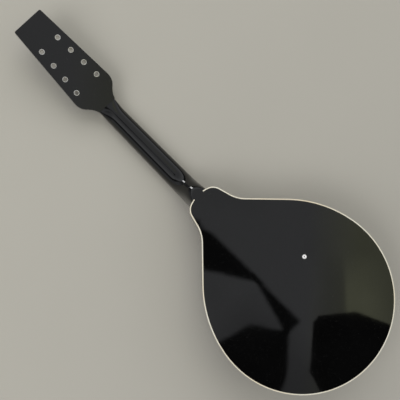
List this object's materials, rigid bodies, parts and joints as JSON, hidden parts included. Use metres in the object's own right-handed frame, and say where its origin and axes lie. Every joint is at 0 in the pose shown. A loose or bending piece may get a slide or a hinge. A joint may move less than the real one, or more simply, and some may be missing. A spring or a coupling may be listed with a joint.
{
  "type": "mandolin",
  "caption": "Teardrop mandolin lying on its face: black lacquered body with pale binding, glued neck, height-adjustable bridge, sheet tailpiece, and bushed head bores without tuners or strings.",
  "frame": {"origin": "middle of the plan's bounding box, on the string plane, where the nut's and the saddle's tops touch the surface it lies on", "axes": "+X along the strings towards the head, +Y towards the treble side, +Z out of the back"},
  "size_m": [0.656, 0.255, 0.087],
  "materials": {
    "back_plate": "black gloss lacquer over wood",
    "rim": "black gloss lacquer over wood",
    "top_plate": "black gloss lacquer over wood",
    "back_binding": "polished cream binding",
    "top_binding": "polished cream binding",
    "back_lining": "bare planed spruce",
    "top_lining": "bare planed spruce",
    "neck_block": "bare planed maple",
    "tail_block": "bare planed maple",
    "tone_bars": "bare planed spruce",
    "back_braces": "bare planed spruce",
    "neck": "black gloss lacquer over wood",
    "head": "black gloss lacquer over wood",
    "headplate": "black gloss lacquer over wood",
    "truss_rod": "plain drawn steel",
    "truss_rod_strip": "bare planed maple",
    "truss_rod_nut": "bright nickel plate",
    "truss_rod_cover": "black moulded plastic",
    "truss_cover_screws": "bright nickel plate",
    "fingerboard": "oiled rosewood",
    "fingerboard_riser": "black gloss lacquer over wood",
    "frets": "bright nickel plate",
    "position_dots": "polished pearloid",
    "side_dots": "polished pearloid",
    "nut": "polished bone-like",
    "post_bushings": "bright nickel plate",
    "bridge_base": "oiled rosewood",
    "bridge_screws": "bright nickel plate",
    "bridge_saddle": "oiled rosewood",
    "treble_thumbwheel": "bright nickel plate",
    "bass_thumbwheel": "bright nickel plate",
    "tailpiece_base": "bright nickel plate",
    "tailpiece_cover": "bright nickel plate",
    "tailpiece_screws": "bright nickel plate",
    "back_eyelet": "polished cream binding"
  },
  "bodies": {
    "mandolin": {"back_plate": "back_plate", "rim": "rim", "top_plate": "top_plate", "back_binding": "back_binding", "top_binding": "top_binding", "back_lining": "back_lining", "top_lining": "top_lining", "neck_block": "neck_block", "tail_block": "tail_block", "tone_bars": "tone_bars", "back_braces": "back_braces", "neck": "neck", "head": "head", "headplate": "headplate", "truss_rod": "truss_rod", "truss_rod_strip": "truss_rod_strip", "truss_rod_cover": "truss_rod_cover", "truss_cover_screws": "truss_cover_screws", "fingerboard": "fingerboard", "fingerboard_riser": "fingerboard_riser", "frets": "frets", "position_dots": "position_dots", "side_dots": "side_dots", "nut": "nut", "post_bushings": "post_bushings", "bridge_base": "bridge_base", "bridge_screws": "bridge_screws", "tailpiece_base": "tailpiece_base", "tailpiece_screws": "tailpiece_screws", "back_eyelet": "back_eyelet"},
    "saddle": {"bridge_saddle": "bridge_saddle"},
    "treble_wheel": {"treble_thumbwheel": "treble_thumbwheel"},
    "bass_wheel": {"bass_thumbwheel": "bass_thumbwheel"},
    "tail_cover": {"tailpiece_cover": "tailpiece_cover"},
    "truss_nut": {"truss_rod_nut": "truss_rod_nut"}
  },
  "joints": [
    {"name": "saddle_rise", "type": "slide", "parent": "mandolin", "child": "saddle", "axis": [0, 0, -1], "range_m": [0, 0.00238]},
    {"name": "treble_wheel_spin", "type": "hinge", "parent": "saddle", "child": "treble_wheel", "pos_m": [-0.17819, 0.026, 0.0088], "axis": [0, 0, -1], "range_deg": [0, 1080]},
    {"name": "bass_wheel_spin", "type": "hinge", "parent": "saddle", "child": "bass_wheel", "pos_m": [-0.17819, -0.026, 0.0088], "axis": [0, 0, -1], "range_deg": [0, 1080]},
    {"name": "tail_cover_slide", "type": "slide", "parent": "mandolin", "child": "tail_cover", "axis": [-0.9945, 0, 0.1045], "range_m": [0, 0.036]},
    {"name": "truss_nut_turn", "type": "hinge", "parent": "mandolin", "child": "truss_nut", "pos_m": [0.18281, 0, 0.0139], "axis": [1, 0, 0], "range_deg": [-90, 360]}
  ],
  "couplings": [
    {"joint": "treble_wheel_spin", "follows": "saddle_rise", "rad_per_m": 7913.3},
    {"joint": "bass_wheel_spin", "follows": "saddle_rise", "rad_per_m": 7913.3}
  ]
}
